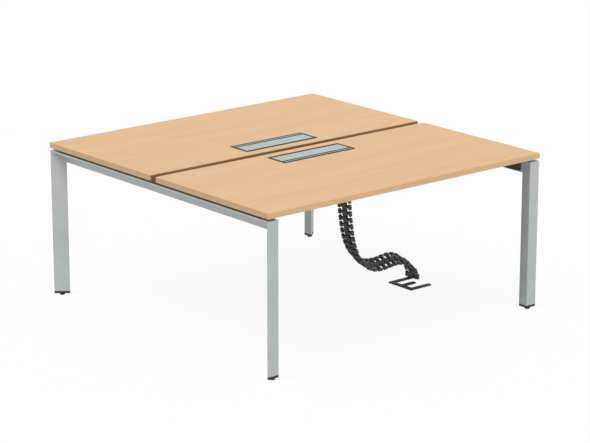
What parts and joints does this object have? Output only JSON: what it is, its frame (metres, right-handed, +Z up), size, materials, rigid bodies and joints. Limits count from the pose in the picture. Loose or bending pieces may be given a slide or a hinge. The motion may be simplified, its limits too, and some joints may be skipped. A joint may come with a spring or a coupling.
{
  "type": "two-person bench desk",
  "caption": "Face-to-face bench desk: pale wood worktops with a gap between them on silver bevelled end frames, with hinged cable flaps and a black cable spine.",
  "frame": {"origin": "on the floor under the middle of the desk", "axes": "+X along the worktops, -Y towards the front user, +Z up"},
  "size_m": [1.6, 1.6, 0.7425],
  "materials": {
    "wood_top": "pale beech decor, satin",
    "wood_edge": "matching edging, satin",
    "silver_frame": "silver powder coat",
    "black_steel": "black powder coat",
    "black_plastic": "fine grain",
    "zinc_steel": "zinc plated",
    "pad_rubber": "matt",
    "dark_aluminium": "dark anodised",
    "silver_aluminium": "satin anodised",
    "bristle": "nylon bristle",
    "spine_plastic": "moulded, fine grain"
  },
  "bodies": {
    "desk": {"beam_bolts": "zinc_steel", "beam_pads": "pad_rubber", "bristles_front": "bristle", "bristles_rear": "bristle", "brush_carrier_front": "silver_aluminium", "brush_carrier_rear": "silver_aluminium", "cable_tray": "black_steel", "edge_band_front": "wood_edge", "edge_band_rear": "wood_edge", "end_beam_left": "silver_frame", "end_beam_right": "silver_frame", "flap_frame_front": "dark_aluminium", "flap_frame_rear": "dark_aluminium", "hinge_pins_front": "zinc_steel", "hinge_pins_rear": "zinc_steel", "leg_cap_front_left": "black_plastic", "leg_cap_front_right": "black_plastic", "leg_cap_rear_left": "black_plastic", "leg_cap_rear_right": "black_plastic", "leg_front_left": "silver_frame", "leg_front_right": "silver_frame", "leg_inserts": "zinc_steel", "leg_rear_left": "silver_frame", "leg_rear_right": "silver_frame", "long_beam_front": "black_steel", "long_beam_rear": "black_steel", "rail_bolts": "zinc_steel", "spine_base": "black_steel", "spine_base_screws": "zinc_steel", "spine_foot": "spine_plastic", "spine_hanger": "spine_plastic", "spine_hanger_screws": "zinc_steel", "spine_links": "spine_plastic", "support_rail_left": "black_steel", "support_rail_right": "black_steel", "tray_hanger_left": "black_steel", "tray_hanger_right": "black_steel", "tray_screws": "zinc_steel", "weld_nuts": "zinc_steel", "worktop_front": "wood_top", "worktop_rear": "wood_top", "worktop_screws": "zinc_steel"},
    "flap_lid_front": {"flap_lid_front": "silver_aluminium", "lid_knuckles_front": "dark_aluminium"},
    "flap_lid_rear": {"flap_lid_rear": "silver_aluminium", "lid_knuckles_rear": "dark_aluminium"},
    "foot_front_left": {"foot_pad_front_left": "black_plastic"},
    "stem_front_left": {"foot_stem_front_left": "zinc_steel"},
    "foot_front_right": {"foot_pad_front_right": "black_plastic"},
    "stem_front_right": {"foot_stem_front_right": "zinc_steel"},
    "foot_rear_left": {"foot_pad_rear_left": "black_plastic"},
    "stem_rear_left": {"foot_stem_rear_left": "zinc_steel"},
    "foot_rear_right": {"foot_pad_rear_right": "black_plastic"},
    "stem_rear_right": {"foot_stem_rear_right": "zinc_steel"}
  },
  "joints": [
    {"name": "front_flap_hinge", "type": "hinge", "parent": "desk", "child": "flap_lid_front", "pos_m": [0, -0.09, 0.7355], "axis": [-1, 0, 0], "range_deg": [0, 100]},
    {"name": "rear_flap_hinge", "type": "hinge", "parent": "desk", "child": "flap_lid_rear", "pos_m": [0, 0.09, 0.7355], "axis": [1, 0, 0], "range_deg": [0, 100]},
    {"name": "foot_travel_front_left", "type": "slide", "parent": "desk", "child": "foot_front_left", "axis": [0, 0, 1], "range_m": [-0.015, 0]},
    {"name": "stem_turn_front_left", "type": "hinge", "parent": "foot_front_left", "child": "stem_front_left", "pos_m": [-0.765, -0.781, 0.02], "axis": [0, 0, 1], "range_deg": [-4321, 1]},
    {"name": "foot_travel_front_right", "type": "slide", "parent": "desk", "child": "foot_front_right", "axis": [0, 0, 1], "range_m": [-0.015, 0]},
    {"name": "stem_turn_front_right", "type": "hinge", "parent": "foot_front_right", "child": "stem_front_right", "pos_m": [0.765, -0.781, 0.02], "axis": [0, 0, 1], "range_deg": [-4321, 1]},
    {"name": "foot_travel_rear_left", "type": "slide", "parent": "desk", "child": "foot_rear_left", "axis": [0, 0, 1], "range_m": [-0.015, 0]},
    {"name": "stem_turn_rear_left", "type": "hinge", "parent": "foot_rear_left", "child": "stem_rear_left", "pos_m": [-0.765, 0.781, 0.02], "axis": [0, 0, 1], "range_deg": [-4321, 1]},
    {"name": "foot_travel_rear_right", "type": "slide", "parent": "desk", "child": "foot_rear_right", "axis": [0, 0, 1], "range_m": [-0.015, 0]},
    {"name": "stem_turn_rear_right", "type": "hinge", "parent": "foot_rear_right", "child": "stem_rear_right", "pos_m": [0.765, 0.781, 0.02], "axis": [0, 0, 1], "range_deg": [-4321, 1]}
  ],
  "couplings": [
    {"joint": "stem_turn_front_left", "follows": "foot_travel_front_left", "rad_per_m": 5026.5},
    {"joint": "stem_turn_front_right", "follows": "foot_travel_front_right", "rad_per_m": 5026.5},
    {"joint": "stem_turn_rear_left", "follows": "foot_travel_rear_left", "rad_per_m": 5026.5},
    {"joint": "stem_turn_rear_right", "follows": "foot_travel_rear_right", "rad_per_m": 5026.5}
  ]
}
